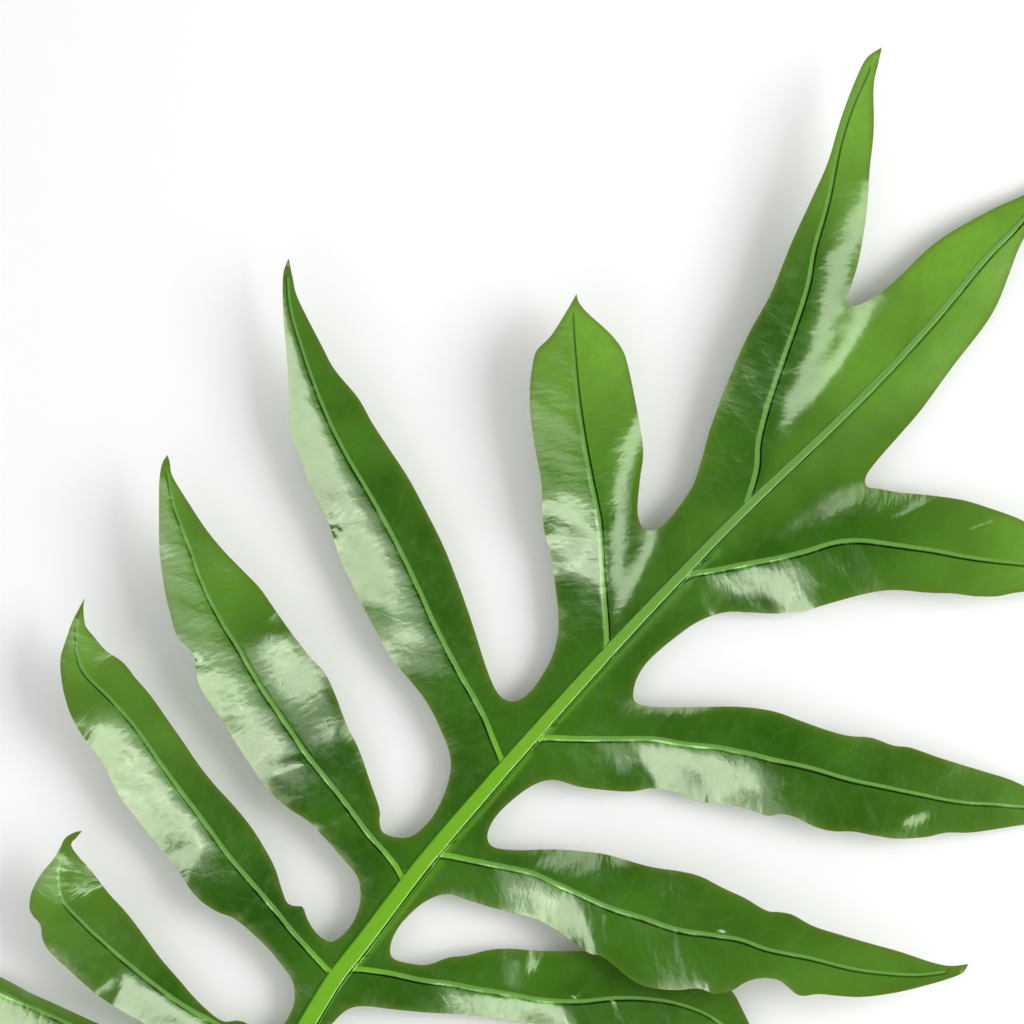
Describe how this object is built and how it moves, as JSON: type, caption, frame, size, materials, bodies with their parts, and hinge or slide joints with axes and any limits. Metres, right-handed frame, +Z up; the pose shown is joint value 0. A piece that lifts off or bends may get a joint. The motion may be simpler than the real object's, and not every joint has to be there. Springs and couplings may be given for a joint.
{
  "type": "pinnately lobed leaf",
  "caption": "Glossy evergreen leaf on its stalk, the blade cut into long pointed side lobes along a raised middle rib, lying face up with most lobes lifted.",
  "frame": {"origin": "middle of the bounding box in plan, on the surface that the leaf lies on", "axes": "+Z up, out of the glossy upper face; +Y along the middle rib from the stalk's cut end to the tip; +X to the leaf's right side"},
  "size_m": [0.215, 0.4014, 0.0193],
  "materials": {
    "leaf_green": "glossy, waxy green leaf"
  },
  "bodies": {
    "root": {"leaf": "leaf_green"}
  },
  "joints": []
}
